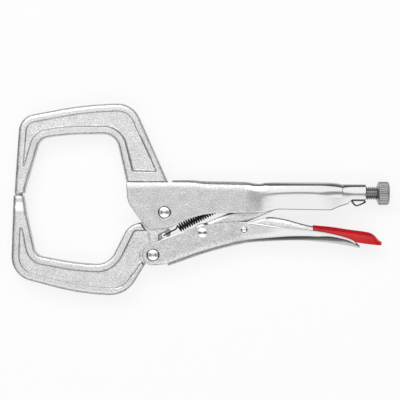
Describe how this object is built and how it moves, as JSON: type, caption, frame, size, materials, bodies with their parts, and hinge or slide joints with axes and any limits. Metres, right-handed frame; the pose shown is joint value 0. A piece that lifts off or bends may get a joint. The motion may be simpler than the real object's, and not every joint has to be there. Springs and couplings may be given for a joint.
{
  "type": "locking pliers",
  "caption": "Locking C-clamp pliers in plated steel, with deep forged jaws, a toggle link, a knurled adjusting screw and a release lever with a red dipped grip.",
  "frame": {"origin": "where the two closed jaw tips meet, half-way through the thickness", "axes": "+X from the jaw tips to the adjusting knob, +Y from the moving jaw to the fixed jaw, +Z out of the upper side face"},
  "size_m": [0.2802, 0.1421, 0.02],
  "materials": {
    "plated_sheet": "satin nickel plating on pressed sheet steel",
    "plated_forging": "satin nickel plating on a blasted forging",
    "plated_thread": "plated turned steel",
    "bright_rivet": "bright plated rivet",
    "black_spring_steel": "black oxide",
    "red_vinyl": "glossy dipped vinyl"
  },
  "bodies": {
    "upper_handle": {"body_channel": "plated_sheet", "fixed_jaw": "plated_forging", "main_rivet": "bright_rivet", "spring_pin": "bright_rivet", "screw_clip": "black_spring_steel", "tension_spring": "black_spring_steel"},
    "lower_jaw": {"moving_jaw": "plated_forging", "handle_rivet": "bright_rivet"},
    "lower_handle": {"lower_handle": "plated_sheet", "link_rivet": "bright_rivet", "lever_pin": "bright_rivet"},
    "link": {"toggle_link": "plated_forging"},
    "lever": {"release_lever": "plated_sheet", "lever_grip": "red_vinyl"},
    "screw": {"adjusting_screw": "plated_thread"},
    "knob": {"adjusting_knob": "plated_thread"}
  },
  "joints": [
    {"name": "jaw_opens", "type": "hinge", "parent": "upper_handle", "child": "lower_jaw", "pos_m": [0.108, -0.0132, 0], "axis": [0, 0, 1], "range_deg": [0, 40], "deforming": ["tension_spring"]},
    {"name": "handle_opens", "type": "hinge", "parent": "lower_jaw", "child": "lower_handle", "pos_m": [0.0995, -0.0448, 0], "axis": [0, 0, 1], "range_deg": [-88, 0]},
    {"name": "link_swings", "type": "hinge", "parent": "lower_handle", "child": "link", "pos_m": [0.13605, -0.0283, 0], "axis": [0, 0, 1], "range_deg": [0, 78]},
    {"name": "lever_releases", "type": "hinge", "parent": "lower_handle", "child": "lever", "pos_m": [0.167, -0.0261, 0], "axis": [0, 0, 1], "range_deg": [0, 5]},
    {"name": "screw_travels", "type": "slide", "parent": "upper_handle", "child": "screw", "axis": [1, 0, 0], "range_m": [0, 0.03]},
    {"name": "knob_turns", "type": "hinge", "parent": "screw", "child": "knob", "pos_m": [0.27, 0.0009, 0], "axis": [1, 0, 0], "range_deg": [0, 7210]}
  ],
  "couplings": [
    {"joint": "handle_opens", "follows": "jaw_opens", "ratio": -2.2},
    {"joint": "link_swings", "follows": "jaw_opens", "ratio": 1.95},
    {"joint": "knob_turns", "follows": "screw_travels", "rad_per_m": 4188.8}
  ]
}
